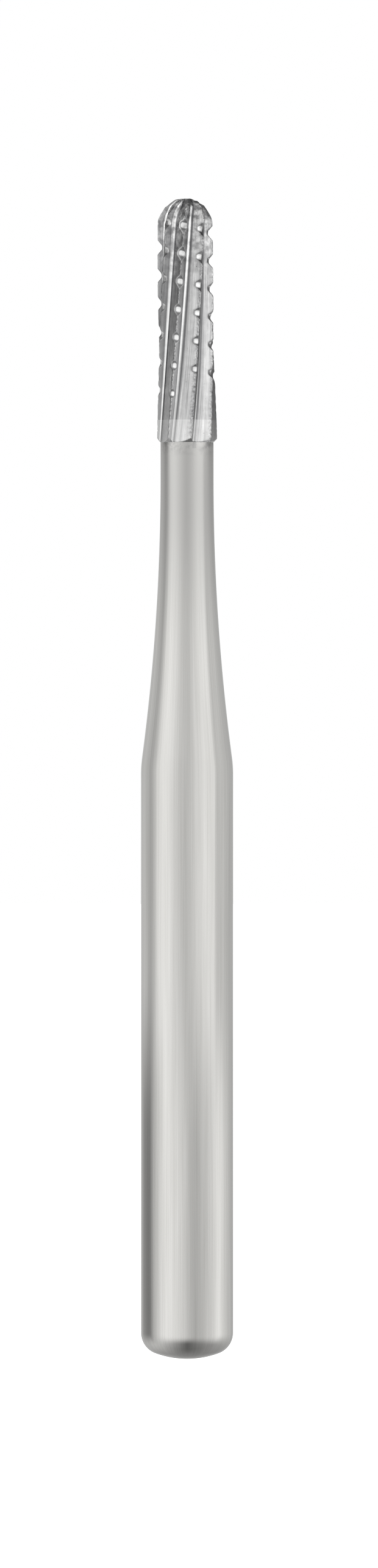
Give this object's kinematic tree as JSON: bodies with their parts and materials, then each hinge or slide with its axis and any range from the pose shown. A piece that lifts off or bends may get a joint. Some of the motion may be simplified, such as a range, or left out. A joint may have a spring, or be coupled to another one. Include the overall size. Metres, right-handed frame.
{
  "type": "dental bur",
  "caption": "Friction-grip dental bur: a domed, cross-cut fluted carbide cutting head on a stepped steel shank with a rounded end.",
  "frame": {"origin": "on the axis, at the crown of the shank's free end", "axes": "+Z along the axis from the shank's free end to the cutting tip; -Y is the side that faces the camera"},
  "size_m": [0.0016, 0.0016, 0.0202],
  "materials": {
    "carbide": "ground",
    "steel": "satin"
  },
  "bodies": {
    "root": {"carbide_head": "carbide", "steel_shank": "steel"}
  },
  "joints": []
}
